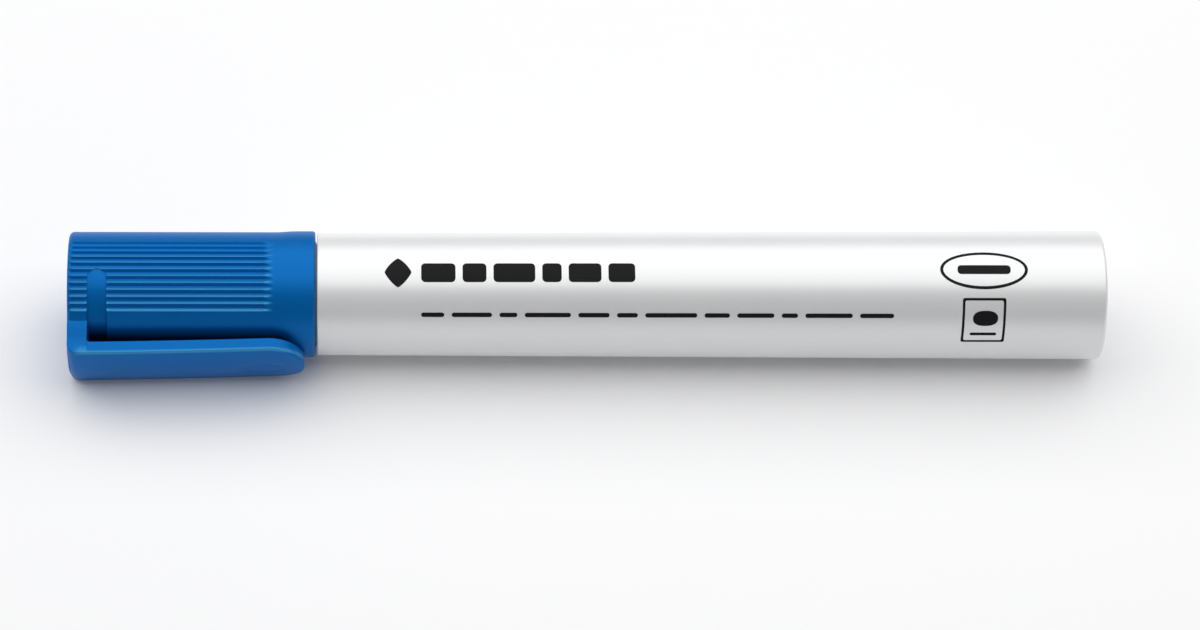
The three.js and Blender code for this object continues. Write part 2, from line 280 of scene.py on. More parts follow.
def fibreGrain():
    # bundled fibres along the marker: noise stretched along X and sharpened to strands, and a soft mottling
    tree, given, out = newGroup(
        "fibreGrain",
        [("Vector", "NodeSocketVector", None), ("Strand Scale", "NodeSocketFloat", 5200.0),
         ("Stretch", "NodeSocketFloat", 0.06)],
        [("Strand", "NodeSocketFloat"), ("Mottle", "NodeSocketFloat")])
    along = addNode(tree, "ShaderNodeCombineXYZ", [(given.outputs["Stretch"], 0), (1.0, 1), (1.0, 2)])
    squeezed = addNode(tree, "ShaderNodeVectorMath", [(given.outputs["Vector"], 0), (along.outputs[0], 1)],
                       operation="MULTIPLY")
    strand = noiseNode(tree, squeezed.outputs[0], given.outputs["Strand Scale"], 4.0, roughness=0.6)
    sharpened = addNode(tree, "ShaderNodeMapRange", [(strand, 0), (0.35, 1), (0.65, 2)])
    mottle = noiseNode(tree, given.outputs["Vector"], 700.0, 3.0)
    tree.links.new(sharpened.outputs[0], out.inputs["Strand"])
    tree.links.new(mottle, out.inputs["Mottle"])
    return tree


groups = {"skin": mouldedSkin(), "wear": handlingWear(), "fibre": fibreGrain()}


def placeGroup(tree, which, vector, **values):
    made = tree.nodes.new("ShaderNodeGroup")
    made.node_tree = groups[which]
    tree.links.new(vector, made.inputs["Vector"])
    for key, value in values.items():
        made.inputs[key.replace("_", " ")].default_value = value
    return made


def plasticFinish(name, look):
    # plastic: colour mixed by cloud and scuffs, roughness = base + cloud + scuff terms, peel as bump
    material = bpy.data.materials.new(name)
    material.use_nodes = True
    tree = material.node_tree
    shader = tree.nodes["Principled BSDF"]
    where = tree.nodes.new("ShaderNodeTexCoord").outputs["Object"]
    skin = placeGroup(tree, "skin", where, Peel_Scale=look["peelScale"], Cloud_Scale=look["cloudScale"])
    wear = placeGroup(tree, "wear", where, Amount=look["wear"])
    tone = mixColor(tree, skin.outputs["Cloud"], look["color"], look["colorAlt"])
    worn = mixColor(tree, wear.outputs["Scuff"], tone, look["scuffColor"])
    # painted light: one weight pales the ridges and the clip's rim as a painted highlight, "shade" darkens
    # under the clip as painted shade; both are 0 where a piece has none
    crestHighlight = addNode(tree, "ShaderNodeAttribute", attribute_name="crestHighlight")
    shade = addNode(tree, "ShaderNodeAttribute", attribute_name="shade")
    highlighted = mixColor(tree, crestHighlight.outputs["Fac"], worn, look.get("crestHighlightColor", look["color"]))
    shaded = mixColor(tree, shade.outputs["Fac"], highlighted, (0, 0, 0, 1))
    rough = mathNode(tree, "MULTIPLY_ADD", skin.outputs["Cloud"], look["roughSpread"], look["rough"])
    rough = mathNode(tree, "MULTIPLY_ADD", wear.outputs["Scuff"], 0.25, rough, clamp=True)
    bump = addNode(tree, "ShaderNodeBump", [(look["bump"], "Strength"), (look["bumpDepth"], "Distance"),
                   (skin.outputs["Height"], "Height")])
    tree.links.new(shaded, shader.inputs["Base Color"])
    tree.links.new(rough, shader.inputs["Roughness"])
    tree.links.new(bump.outputs[0], shader.inputs["Normal"])
    shader.inputs["IOR"].default_value = 1.49
    shader.inputs["Specular IOR Level"].default_value = look.get("specular", 0.5)
    shader.inputs["Metallic"].default_value = look.get("metallic", 0.0)
    shader.inputs["Coat Weight"].default_value = look.get("coat", 0.0)
    shader.inputs["Coat Roughness"].default_value = look.get("coatRough", 0.2)
    shader.inputs["Subsurface Weight"].default_value = look.get("subsurface", 0.0)
    shader.inputs["Subsurface Radius"].default_value = (1.0, 1.0, 1.0)
    shader.inputs["Subsurface Scale"].default_value = look.get("subsurfaceScale", 0.0005)
    return material


def fibreFinish(name, look):
    # matt fibres: colour from dark to lit by strand and mottle, strands as bump
    material = bpy.data.materials.new(name)
    material.use_nodes = True
    tree = material.node_tree
    shader = tree.nodes["Principled BSDF"]
    where = tree.nodes.new("ShaderNodeTexCoord").outputs["Object"]
    grain = placeGroup(tree, "fibre", where, Strand_Scale=look["strandScale"], Stretch=look["stretch"])
    blend = mathNode(tree, "MULTIPLY", grain.outputs["Strand"], grain.outputs["Mottle"])
    tone = mixColor(tree, blend, look["dark"], look["lit"])
    rough = mathNode(tree, "MULTIPLY_ADD", grain.outputs["Mottle"], -0.2, look["rough"], clamp=True)
    bump = addNode(tree, "ShaderNodeBump", [(look["bump"], "Strength"), (0.00008, "Distance"),
                   (grain.outputs["Strand"], "Height")])
    tree.links.new(tone, shader.inputs["Base Color"])
    tree.links.new(rough, shader.inputs["Roughness"])
    tree.links.new(bump.outputs[0], shader.inputs["Normal"])
    shader.inputs["Sheen Weight"].default_value = look["sheen"]
    return material


finishes = {
    # the last, paler blue of capBlue is the colour of the painted highlight on the ridges and the clip's rim
    "capBlue": plasticFinish("capBlue", dict(
        color=(0.0, 0.138, 0.46, 1), colorAlt=(0.001, 0.154, 0.50, 1), scuffColor=(0.02, 0.2, 0.5, 1),
        rough=0.36, roughSpread=0.08, wear=0.18, peelScale=2400, cloudScale=120, bump=0.12, bumpDepth=0.00003,
        specular=0.1, metallic=0.3, crestHighlightColor=(0.08, 0.42, 0.70, 1))),
    "barrelPearl": plasticFinish("barrelPearl", dict(
        color=(0.88, 0.883, 0.887, 1), colorAlt=(0.91, 0.912, 0.915, 1), scuffColor=(0.74, 0.74, 0.75, 1),
        rough=0.34, roughSpread=0.06, wear=0.10, peelScale=3600, cloudScale=60, bump=0.06, bumpDepth=0.00002,
        metallic=0.25, coat=0.1, coatRough=0.25)),
    "plugPearl": plasticFinish("plugPearl", dict(
        color=(0.69, 0.70, 0.71, 1), colorAlt=(0.72, 0.73, 0.74, 1), scuffColor=(0.55, 0.55, 0.56, 1),
        rough=0.40, roughSpread=0.08, wear=0.25, peelScale=2600, cloudScale=160, bump=0.12, bumpDepth=0.00003,
        metallic=0.3)),
    "holderGrey": plasticFinish("holderGrey", dict(
        color=(0.62, 0.63, 0.64, 1), colorAlt=(0.66, 0.67, 0.68, 1), scuffColor=(0.5, 0.51, 0.53, 1),
        rough=0.36, roughSpread=0.1, wear=0.3, peelScale=2600, cloudScale=200, bump=0.1, bumpDepth=0.00003,
        subsurface=0.1)),
    "sealWhite": plasticFinish("sealWhite", dict(
        color=(0.74, 0.76, 0.78, 1), colorAlt=(0.78, 0.80, 0.82, 1), scuffColor=(0.66, 0.68, 0.7, 1),
        rough=0.42, roughSpread=0.1, wear=0.1, peelScale=2400, cloudScale=200, bump=0.1, bumpDepth=0.00003,
        subsurface=0.2)),
    "printInk": plasticFinish("printInk", dict(
        color=(0.008, 0.008, 0.009, 1), colorAlt=(0.012, 0.012, 0.013, 1), scuffColor=(0.05, 0.05, 0.05, 1),
        rough=0.55, roughSpread=0.1, wear=0.15, peelScale=5200, cloudScale=400, bump=0.15, bumpDepth=0.00002,
        specular=0.12)),
    "nibFelt": fibreFinish("nibFelt", dict(
        dark=(0.004, 0.012, 0.10, 1), lit=(0.03, 0.09, 0.42, 1), rough=0.95, strandScale=5200, stretch=0.12,
        bump=0.8, sheen=0.2)),
    "reservoirFibre": fibreFinish("reservoirFibre", dict(
        dark=(0.006, 0.02, 0.14, 1), lit=(0.05, 0.12, 0.5, 1), rough=1.0, strandScale=3400, stretch=0.03,
        bump=0.9, sheen=0.3)),
    "sleeveFilm": plasticFinish("sleeveFilm", dict(
        color=(0.45, 0.55, 0.72, 1), colorAlt=(0.5, 0.6, 0.76, 1), scuffColor=(0.6, 0.66, 0.78, 1),
        rough=0.12, roughSpread=0.12, wear=0.3, peelScale=1600, cloudScale=300, bump=0.2, bumpDepth=0.00004,
        coat=0.3, coatRough=0.1)),
}
print("finishes:", len(finishes))

# the entries from shade on set the painted shade under the clip and the painted highlight on the ridges
capLook = dict(radius=8.38, collarRadius=8.52, blend=5.3, collar=2.7, endRound=0.65, mouthRound=0.38,
               bore=6.98, mouthBore=7.42, mouthDepth=10.2, endWall=1.5, draft=0.08, floorRound=0.4,
               boreRound=0.25, grooveIn=6.2, grooveHalf=0.9, grooveFloor=0.6, grooveDepth=0.14,
               flutes=11, pitch=6.55, fluteDepth=0.40, fluteSharp=2.5, runOutStart=7.2, runOutEnd=4.9,
               slotStart=2.66, slotWidth=2.62, slotDepth=0.5, slotReach=86.0, slotSoft=0.07,
               landHeight=7.88, landEnd=6.2, landSpread=0.6, endRings=(2.5, 5.0, 7.0), floorRing=3.0,
               shade=0.95, shadeFull=22.0, shadeNone=39.0, crestHighlight=0.9, crestSide=0.1, crestShift=0.2,
               crestWidth=0.11)


def fluteRelief(u, angle, look):
    # each valley is depth * (w^p - |2t - 1 + lean|^p) with t its share of the pitch; w shrinks from 1 to 0,
    # so that it ends in a point
    pitch = math.radians(look["pitch"])
    fromMiddle = np.abs(angle) - math.pi / 2
    share = fromMiddle / pitch + look["flutes"] / 2
    inside = (share > 0) & (share < look["flutes"])
    t = np.mod(share, 1.0)
    ending = smooth(mouthU - look["runOutStart"], mouthU - look["runOutEnd"], u)
    lean = 0.25 * ending  # the points hook a little to one side
    width = 1 - ending
    power = look["fluteSharp"]
    valley = np.clip(width ** power - np.abs(2 * t - 1 + lean) ** power, 0, 1)
    return look["fluteDepth"] * valley * inside * smooth(0.05, 0.7, u)


def slotMask(u, angle, look):
    # 1 inside a band with round ends: distance to the band's middle line, compared with half its width
    middle = look["slotStart"] + look["slotWidth"] / 2
    past = np.clip(np.abs(angle) - math.radians(look["slotReach"]), 0, None) * look["radius"]
    distance = np.hypot(u - middle, past)
    half = look["slotWidth"] / 2
    return 1 - smooth(half - look["slotSoft"], half + look["slotSoft"], distance)


def buildCap(look):
    # outer radius = turned profile - flutes - recess, cut flat at landHeight under the clip
    r, rc, er, mr = look["radius"], look["collarRadius"], look["endRound"], look["mouthRound"]
    slot0, soft = look["slotStart"], look["slotSoft"]
    slot1 = slot0 + look["slotWidth"]
    collarU = mouthU - look["collar"]
    out0, out1 = mouthU - look["runOutStart"] - 0.3, mouthU - look["runOutEnd"] + 0.2
    # closer steps where the recess has its walls and where the flutes run out
    stops = (er, slot0 - soft, slot0 + soft, slot1 - soft, slot1 + soft, out0, out1, collarU + 0.6)
    counts = (7, 7, 16, 7, 12, 34, 8)
    spans = [np.linspace(a, b, count) for a, b, count in zip(stops[:-1], stops[1:], counts)]
    bodyU = np.unique(np.concatenate(spans))[1:]
    bodyR = r + (rc - r) * smooth(mouthU - look["blend"], collarU, bodyU)
    outer = profile(
        [[0, ring] for ring in look["endRings"]],
        arc(er, r - er, er, 180, 90, 7),
        np.stack([bodyU, bodyR], -1),
        arc(mouthU - mr, rc - mr, mr, 90, 0, 6))
    bore, mouth, step = look["bore"], look["mouthBore"], mouthU - look["mouthDepth"]
    groove, half, flat = mouthU - look["grooveIn"], look["grooveHalf"], look["grooveFloor"]
    floorU, fr, lip = look["endWall"], look["floorRound"], look["boreRound"]
    deep = mouth + look["grooveDepth"]
    inner = profile(
        arc(mouthU - lip, mouth + lip, lip, 0, -90, 3),
        [[groove + half, mouth], [groove + flat, deep], [groove - flat, deep], [groove - half, mouth]],
        [[step, mouth], [step - 0.5, bore]],
        [[10, bore - look["draft"] / 2], [floorU + fr, bore - look["draft"]]],
        arc(floorU + fr, bore - 0.1 - fr, fr, 90, 180, 3),
        [[floorU, look["floorRing"]]])
    # closer steps round the axis where the flutes are, from 48 to 132 degrees from the clip
    dense = np.radians(np.arange(48, 132, look["pitch"] / 14))
    sparse = np.radians(np.concatenate([np.arange(0, 48, 2.0), np.arange(132, 180.01, 2.4)]))
    oneSide = np.unique(np.concatenate([dense, sparse, [math.pi]]))
    angle = np.unique(np.concatenate([oneSide, -oneSide[(oneSide > 0) & (oneSide < math.pi - 1e-6)]]))
    u, a = outer[:, :1], angle[None, :]
    onBody = smooth(0.0, er, u) * (1 - smooth(collarU, collarU + 0.5, u))
    mask = slotMask(u, a, look)
    radius = outer[:, 1:] - onBody * (look["slotDepth"] * mask + (1 - mask) * fluteRelief(u, a, look))
    flatR = look["landHeight"] / np.maximum(np.cos(a), 0.2)
    under = (u > slot0 + 0.01) & (u < mouthU - look["landEnd"]) & (np.abs(a) < look["landSpread"])
    radius = np.where(under, np.minimum(radius, flatR), radius)
    grid = np.concatenate([placeRound(u, radius, a), placeRound(inner[:, :1], inner[:, 1:], a)])
    return [outward(ringMesh(grid, place(0, 0, 0), place(floorU, 0, 0)))]


def axisCoords(obj):
    # u, towards and across of every vertex, in millimetres: place() the other way round
    points = np.empty(len(obj.data.vertices) * 3)
    obj.data.vertices.foreach_get("co", points)
    x, y, z = points.reshape(-1, 3).T
    u, dy, dz = (x - capStart) / mm, (y - axisY) / mm, (z - axisZ) / mm
    return u, -dy * math.cos(roll) - dz * math.sin(roll), dz * math.cos(roll) - dy * math.sin(roll)


def setWeight(obj, name, values):
    made = obj.data.attributes.new(name, "FLOAT", "POINT")
    made.data.foreach_set("value", np.clip(values, 0, 1).astype(np.float32))


def weighCap(obj, look):
    # painted highlight: weight = exp(-((t - c) / crestWidth)^2) at each ridge, with t its share of the pitch
    # and c the side where the light catches the ridge; painted shade: shade = full below shadeFull degrees from
    # the clip, none over shadeNone
    u, towards, across = axisCoords(obj)
    angle = np.degrees(np.abs(np.arctan2(across, towards)))
    share = (angle - 90) / look["pitch"] + look["flutes"] / 2
    outside = np.hypot(towards, across) > look["bore"] + 0.5
    fluted = (share > -0.2) & (share < look["flutes"] + 0.05) & outside
    litSide = look["crestSide"] + look["crestShift"] * smooth(82, 112, angle)
    line = np.exp(-((np.mod(share + 0.3, 1.0) - 0.3 - litSide) / look["crestWidth"]) ** 2)
    along = smooth(0.3, 0.8, u) * (1 - smooth(mouthU - 6.6, mouthU - 5.4, u))
    beside = 1 - slotMask(u, np.radians(angle), look)
    setWeight(obj, "crestHighlight", look["crestHighlight"] * line * fluted * along * beside)
    # painted shade: the cap's colour darkens towards black under the clip, from shadeNone down to shadeFull
    # degrees from it
    along = smooth(look["slotStart"], look["slotStart"] + 0.2, u) * (1 - smooth(mouthU - 5, mouthU - 2, u))
    setWeight(obj, "shade", look["shade"] * along * (1 - smooth(look["shadeFull"], look["shadeNone"], angle)))


cap = makePiece("capShell", buildCap(capLook), finishes["capBlue"], sharp=50)
weighCap(cap, capLook)
settle(cap, "cap", "cap_blue", "cap_shell")

clipLook = dict(halfWidth=5.45, end=1.4, root=2.66, edgeHeight=10.45, lean=0.75, leanPower=1.5, crown=0.86,
                innerCrown=0.72, edge=1.7, tipThin=0.05, tipRound=5.0, corner=1.25, rim=0.26, innerRim=0.22,
                fillet=0.45, rootInner=7.45, flare=0.4, inset=0.02, padU=7.1, padLong=3.4, padWide=1.7,
                padDepth=0.13, crestHighlight=0.6, bendHeight=9.8, bendStart=0.6, bendEnd=1.6)
clipEndU = mouthU - clipLook["end"]


def clipEdge(u, look):
    # height of the outer long edges = edgeHeight - lean * (u/end)^p
    return look["edgeHeight"] - look["lean"] * np.clip(u / clipEndU, 0, 1) ** look["leanPower"]


def clipOuter(u, b, look):
    # edge + crown * (1 - (b/half)^2) - the round at the closed end - a shallow oval recess near the tip
    short = np.clip(look["corner"] - (u - look["inset"]), 0, look["corner"])
    drop = look["corner"] - np.sqrt(np.clip(look["corner"] ** 2 - short ** 2, 0, None))
    oval = np.hypot((u - mouthU + look["padU"]) / look["padLong"], b / look["padWide"])
    recess = look["padDepth"] * (1 - smooth(0.9, 1.06, oval))
    return clipEdge(u, look) + look["crown"] * (1 - (b / look["halfWidth"]) ** 2) - drop - recess


def clipInner(u, b, look):
    # inside the shell at the root; past it, edge - thickness + inner crown, with a quarter-round between
    thick = look["edge"] - look["tipThin"] * np.clip(u / clipEndU, 0, 1)
    free = clipEdge(u, look) - thick + look["innerCrown"] * (1 - (b / look["halfWidth"]) ** 2)
    short = np.clip(look["fillet"] - (u - look["root"]), 0, look["fillet"])
    free = free - (look["fillet"] - np.sqrt(np.clip(look["fillet"] ** 2 - short ** 2, 0, None)))
    buried = np.sqrt(np.clip(look["rootInner"] ** 2 - b ** 2, 1, None))
    return np.where(u < look["root"] + 1e-6, buried, free)


def buildClip(look):
    # an outline in plan, square at the root and half an ellipse at the tip, joined to its middle line; the
    # section runs from the middle over the outer face, round the rim, down the side and back under
    w, root, fil = look["halfWidth"], look["root"], look["fillet"]
    start, corner, tipStart = look["inset"], look["corner"], clipEndU - look["tipRound"]
    sideU = np.concatenate([
        start + corner * (1 - np.cos(np.linspace(0, math.pi / 2, 9)))[:-1],
        [1.7, 2.3, root, root + 0.002],
        root + fil * (1 - np.cos(np.linspace(0.25, math.pi / 2, 7))),
        np.linspace(root + fil + 0.5, tipStart, 40)])
    turn = np.linspace(math.pi / 2, -math.pi / 2, 61)[1:-1]
    tipU, tipB = tipStart + look["tipRound"] * np.cos(turn), w * np.sin(turn)
    endB = np.linspace(-w, w, 15)[1:-1]
    sides, tips, ends = len(sideU), len(tipU), len(endB)
    outU = np.concatenate([sideU, tipU, sideU[::-1], np.full(ends, start)])
    outB = np.concatenate([np.full(sides, w), tipB, np.full(sides, -w), endB])
    midU = np.concatenate([sideU, np.full(tips, tipStart), sideU[::-1], np.full(ends, start + corner)])
    onSide = np.repeat([True, False, True, False], [sides, tips, sides, ends])
    length = np.hypot(outU - midU, outB)
    dirU, dirB = (outU - midU) / length, outB / length
    rim, innerRim = look["rim"], look["innerRim"]
    grid = []
    for share in np.linspace(0, 1, 19) ** 0.8:  # outer face
        u, b = midU + dirU * share * (length - rim), dirB * share * (length - rim)
        grid.append(place(u, clipOuter(u, b, look), b))
    top = clipOuter(midU + dirU * (length - rim), dirB * (length - rim), look)
    bottom = clipInner(outU, outB, look)
    for turnTo in np.radians([20, 40, 60, 78, 90]):  # outer rim
        reach = length - rim + rim * math.sin(turnTo)
        grid.append(place(midU + dirU * reach, top - rim * (1 - math.cos(turnTo)), dirB * reach))
    low = bottom + innerRim
    for share in (0.2, 0.4, 0.6, 0.8, 1.0):  # side, flared a little where it meets the shell
        height = (top - rim) * (1 - share) + low * share
        flare = look["flare"] * smooth(8.6, 6.6, height) * onSide * (outU < root + 0.001)
        grid.append(place(outU, height, outB + np.sign(outB) * flare))
    for turnTo in np.radians([30, 60, 90]):  # inner rim
        reach = length - innerRim * (1 - math.cos(turnTo))
        grid.append(place(midU + dirU * reach, low - innerRim * math.sin(turnTo), dirB * reach))
    for t in np.linspace(1, 0, 11)[1:]:  # inner face
        reach = t * (length - innerRim)
        u, b = midU + dirU * reach, dirB * reach
        inner = np.where(outU < root + 1e-4, clipInner(outU, b, look), clipInner(u, b, look))
        grid.append(place(u, inner, b))
    return [ringMesh(np.array(grid))]


def weighClip(obj, look):
    # painted highlight: the weight = 1 on the outer rim, near the outline in plan and near the edge's height
    u, towards, across = axisCoords(obj)
    tipStart = clipEndU - look["tipRound"]
    plan = np.hypot(np.clip(u - tipStart, 0, None) / look["tipRound"], across / look["halfWidth"])
    offEdge = np.abs(towards - clipEdge(u, look) + 0.02)
    rim = (1 - smooth(0.12, 0.3, offEdge)) * smooth(0.93, 0.975, plan) * smooth(0.6, 1.6, u)
    setWeight(obj, "crestHighlight", look["crestHighlight"] * rim)


clip = makePiece("pocketClip", buildClip(clipLook), finishes["capBlue"], sharp=38, weld=True)
weighClip(clip, clipLook)
settle(clip, None, "cap_blue", "pocket_clip")
rootPoint = place(clipLook["root"] - clipLook["bendStart"], clipLook["bendHeight"], 0)
freePoint = place(clipLook["root"] + clipLook["bendEnd"], clipLook["bendHeight"], 0)
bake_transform(clip)

cupLook = dict(floor=1.2, bore=4.45, wall=0.8, flange=6.76, flangeLength=1.4, lip=0.1)


def buildCup(look):
    # a turned cup: rounded outside, a flange at the mouth and a thin raised lip just inside it
    f, m = spanOf("seal_cup")
    b, w = look["bore"], look["wall"]
    fl, fs, lip = look["flange"], m - look["flangeLength"], look["lip"]
    return [turned(profile(
        [[f, 0], [f, 2.2]], arc(f + 0.6, b + w - 0.6, 0.6, 180, 90, 5), [[fs - 0.3, b + w]],
        arc(fs - 0.3, b + w + 0.3, 0.3, -90, 0, 3), arc(fs + 0.2, fl - 0.2, 0.2, 180, 90, 3),
        arc(m - 0.2, fl - 0.2, 0.2, 90, 0, 3), arc(m - 0.25, b + 0.27, 0.25, 0, -90, 4),
        [[m - 0.7, b]], arc(m - 1.2, b + 0.72, 0.72 + lip, -60, -120, 6), [[m - 1.7, b]],
        [[f + look["floor"] + 0.5, b]], arc(f + look["floor"] + 0.5, b - 0.5, 0.5, 90, 180, 4),
        [[f + look["floor"], 2.0], [f + look["floor"], 0]]), 128)]


cup = makePiece("sealingCup", buildCup(cupLook), finishes["sealWhite"])
settle(cup, "cap_seal", "seal_white", "seal_cup")

barrelLook = dict(frontRadius=8.26, wall=1.3, frontRound=0.22, rearRound=0.55, spigot=10.0, plugDepth=8.0)


def barrelRadius(u, look):
    # straight taper from the front radius to the rear radius
    return look["frontRadius"] + (rearRadius - look["frontRadius"]) * (u - frontU) / (rearU - frontU)


def buildBarrel(look):
    # tapered tube with rounded rims; its bore steps where the holder and the plug are pressed in
    r0, fr, rr = look["frontRadius"], look["frontRound"], look["rearRound"]
    b0, b1 = r0 - look["wall"], rearRadius - look["wall"]
    alongU = np.linspace(frontU + fr, rearU - rr, 60)[1:-1]
    return [turned(profile(
        [[frontU, b0 + 0.1]], arc(frontU + fr, r0 - fr, fr, 180, 90, 5),
        np.stack([alongU, barrelRadius(alongU, look)], -1), arc(rearU - rr, rearRadius - rr, rr, 90, 0, 7),
        [[rearU, b1 + 0.12], [rearU - 0.12, b1], [rearU - look["plugDepth"] - 1, b1],
         [frontU + look["spigot"], b0], [frontU + 0.1, b0]]), 224)]


barrel = makePiece("barrelTube", buildBarrel(barrelLook), finishes["barrelPearl"])
settle(barrel, "barrel", "barrel_pearl", "barrel")

plugLook = dict(gap=0.08, chamfer=0.25, wall=1.0, faceWall=1.6, gate=1.1, gateDepth=0.25, dish=5.6,
                dishDepth=0.35)


def buildPlug(look):
    # a turned cup pressed into the barrel's end; its face is dished a little, with a gate mark in the middle
    r = rearRadius - barrelLook["wall"] - look["gap"]
    face, start, inside = rearU - 0.02, spanOf("rear_plug")[0], rearU - look["faceWall"]
    edge, d, gate = look["chamfer"], look["dish"], look["gate"]
    low = face - look["dishDepth"]
    return [turned(profile(
        [[inside, 0], [inside, r - look["wall"]], [start, r - look["wall"]]],
        [[start, r - 0.2], [start + 0.6, r], [face - edge, r]],
        arc(face - edge, r - edge, edge, 90, 0, 4)[1:],
        [[face, d + 0.35], [face - look["dishDepth"] * 0.5, d + 0.1], [low, d - 0.3]],
        [[low, gate + 0.15], [low - 0.06, gate]],
        [[low - look["gateDepth"], gate - 0.3], [low - look["gateDepth"], 0]]), 160)]


plug = makePiece("rearPlug", buildPlug(plugLook), finishes["plugPearl"], sharp=30)
settle(plug, "barrel", "plug_pearl", "rear_plug")

holderLook = dict(seat=7.17, spigot=6.86, chamber=6.06, coneStart=5.5, coneEnd=9.5, snoutRadius=4.1,
                  nibBore=2.6, guide=3.5, guideLength=4.0, vents=3, ventDepth=0.45, ventHalf=10.0,
                  beadIn=6.2, bead=0.14, shell=1.1, tipRound=0.55)


def buildHolder(look):
    # turned section; the snout's bore has vents: radius = bore + depth where the angle is near a vent
    seat, sr, tr, bore = look["seat"], look["snoutRadius"], look["tipRound"], look["nibBore"]
    spigot, chamber, guide, shell = look["spigot"], look["chamber"], look["guide"], look["shell"]
    tip, rear = spanOf("nib_holder")
    cs, ce, guideU = tip + look["coneStart"], tip + look["coneEnd"], frontU + look["guideLength"]
    beadU, beadR = mouthU - look["beadIn"], seat + look["bead"]
    boreRows = 10  # the last ones, in the snout; all but the first carry the vents
    rows = profile(
        [[tip, bore + 0.5]], arc(tip + tr, sr - tr, tr, 180, 90, 6), [[cs - 0.5, sr]],
        arc(cs - 0.5, sr + 0.8, 0.8, -90, -55, 4), arc(ce + 0.4, seat - 0.8, 0.8, 125, 90, 4),
        [[beadU - 0.6, seat], [beadU - 0.3, beadR], [beadU + 0.3, beadR], [beadU + 0.6, seat]],
        [[frontU - 0.3, seat], [frontU - 0.12, seat - 0.15], [frontU - 0.12, spigot], [rear - 0.6, spigot]],
        [[rear, spigot - 0.3], [rear, chamber], [ce + shell, chamber]],
        [[cs + shell, guide], [guideU, guide], [guideU, bore]],
        np.stack([np.linspace(cs + 0.02, tip + 0.02, boreRows), np.full(boreRows, bore)], -1))
    angle = np.linspace(0, 2 * math.pi, 240, endpoint=False)
    near = np.abs(np.mod(angle * look["vents"] / (2 * math.pi) + 0.5, 1) - 0.5) * 360 / look["vents"]
    groove = (1 - smooth(look["ventHalf"] - 1.5, look["ventHalf"] + 1.5, near))[None, :]
    inSnout = (np.arange(len(rows)) > len(rows) - boreRows)[:, None]
    radius = rows[:, 1:] + np.where(inSnout, groove * look["ventDepth"], 0.0)
    return [outward(ringMesh(placeRound(rows[:, :1], radius, angle[None, :]), loop=True))]


holder = makePiece("nibHolder", buildHolder(holderLook), finishes["holderGrey"], sharp=35)
settle(holder, "barrel", "holder_grey", "nib_holder")

nibLook = dict(radius=2.5, point=3.1, fuzz=0.02)


def buildNib(look):
    # a bullet: r = radius * sin(t), u = tip + point * (1 - cos t), then a straight, slightly wavy rod
    t = np.linspace(0, math.pi / 2, 26)
    tip, end = spanOf("nib")
    straight = np.linspace(tip + look["point"] + 0.3, end - 0.4, 40)
    rows = profile(np.stack([tip + look["point"] * (1 - np.cos(t)), look["radius"] * np.sin(t)], -1),
                   np.stack([straight, np.full(40, look["radius"])], -1),
                   [[end, look["radius"] - 0.4], [end, 0]])
    body = rows[1:-1]
    angle = np.linspace(0, 2 * math.pi, 96, endpoint=False)
    wave = np.sin(17 * angle[None, :] + 0.9 * body[:, :1]) + np.sin(41 * angle[None, :] - 1.7 * body[:, :1])
    radius = body[:, 1:] - look["fuzz"] * (1 + 0.5 * wave) * smooth(0, 1.2, body[:, 1:])
    grid = placeRound(body[:, :1], radius, angle[None, :])
    return [outward(ringMesh(grid, place(rows[0, 0], 0, 0), place(rows[-1, 0], 0, 0)))]


nib = makePiece("bulletNib", buildNib(nibLook), finishes["nibFelt"], sharp=60)
settle(nib, "barrel", "nib_felt", "nib")

for nodeName, finishName in (("ink_reservoir", "reservoirFibre"), ("reservoir_sleeve", "sleeveFilm")):
    inner = frame["nodes"][nodeName]
    inner.data.materials.clear()
    inner.data.materials.append(finishes[finishName])
print("ink supply dressed")

# middle is the print's side, in degrees round from the clip; rise counts in degrees up from there
printLook = dict(
    lift=0.018, sink=0.012, middle=70.0,
    lozenge=dict(u=44.2, rise=20.5, long=3.6, wide=4.2, power=1.25),
    rows=(dict(u=47.3, rise=20.3, wide=2.7, corner=0.55, gap=0.95, rings=7,
               lengths=(4.6, 3.2, 5.6, 2.6, 4.4, 3.6)),
          dict(u=47.3, rise=-19.5, wide=0.62, corner=0.3, gap=1.0, rings=2,
               lengths=(3.1, 5.4, 2.4, 6.2, 4.2, 2.8, 7.0, 3.4, 5.0, 2.2, 6.4, 4.6))),
    oval=dict(u=123.2, rise=23.0, long=11.9, wide=5.5, line=0.42, barLong=7.2, barWide=1.3, barCorner=0.5),
    box=dict(u=123.2, rise=-25.0, long=5.9, wide=6.7, corner=0.3, line=0.34, blobLong=3.4, blobWide=2.2,
             blobPower=2.4, blobU=0.2, blobUp=0.5, barLong=3.6, barWide=0.45, barCorner=0.2, barDown=1.9))


def onBarrel(u, s, lift):
    # s is arc length on the barrel from the line that faces the viewer, lift the height over the surface
    radius = barrelRadius(u, barrelLook)
    return placeRound(u, radius + lift, math.radians(printLook["middle"]) + s / radius)


def superOval(long, wide, power, count):
    # |x/a|^p + |y/b|^p = 1 with p from 2, an ellipse, to large, a rounded box
    t = np.linspace(0, 2 * math.pi, count, endpoint=False)
    c, s = np.cos(t), np.sin(t)
    scale = (np.abs(c) ** power + np.abs(s) ** power) ** (-1 / power)
    return np.stack([long / 2 * c * scale, wide / 2 * s * scale], axis=-1)


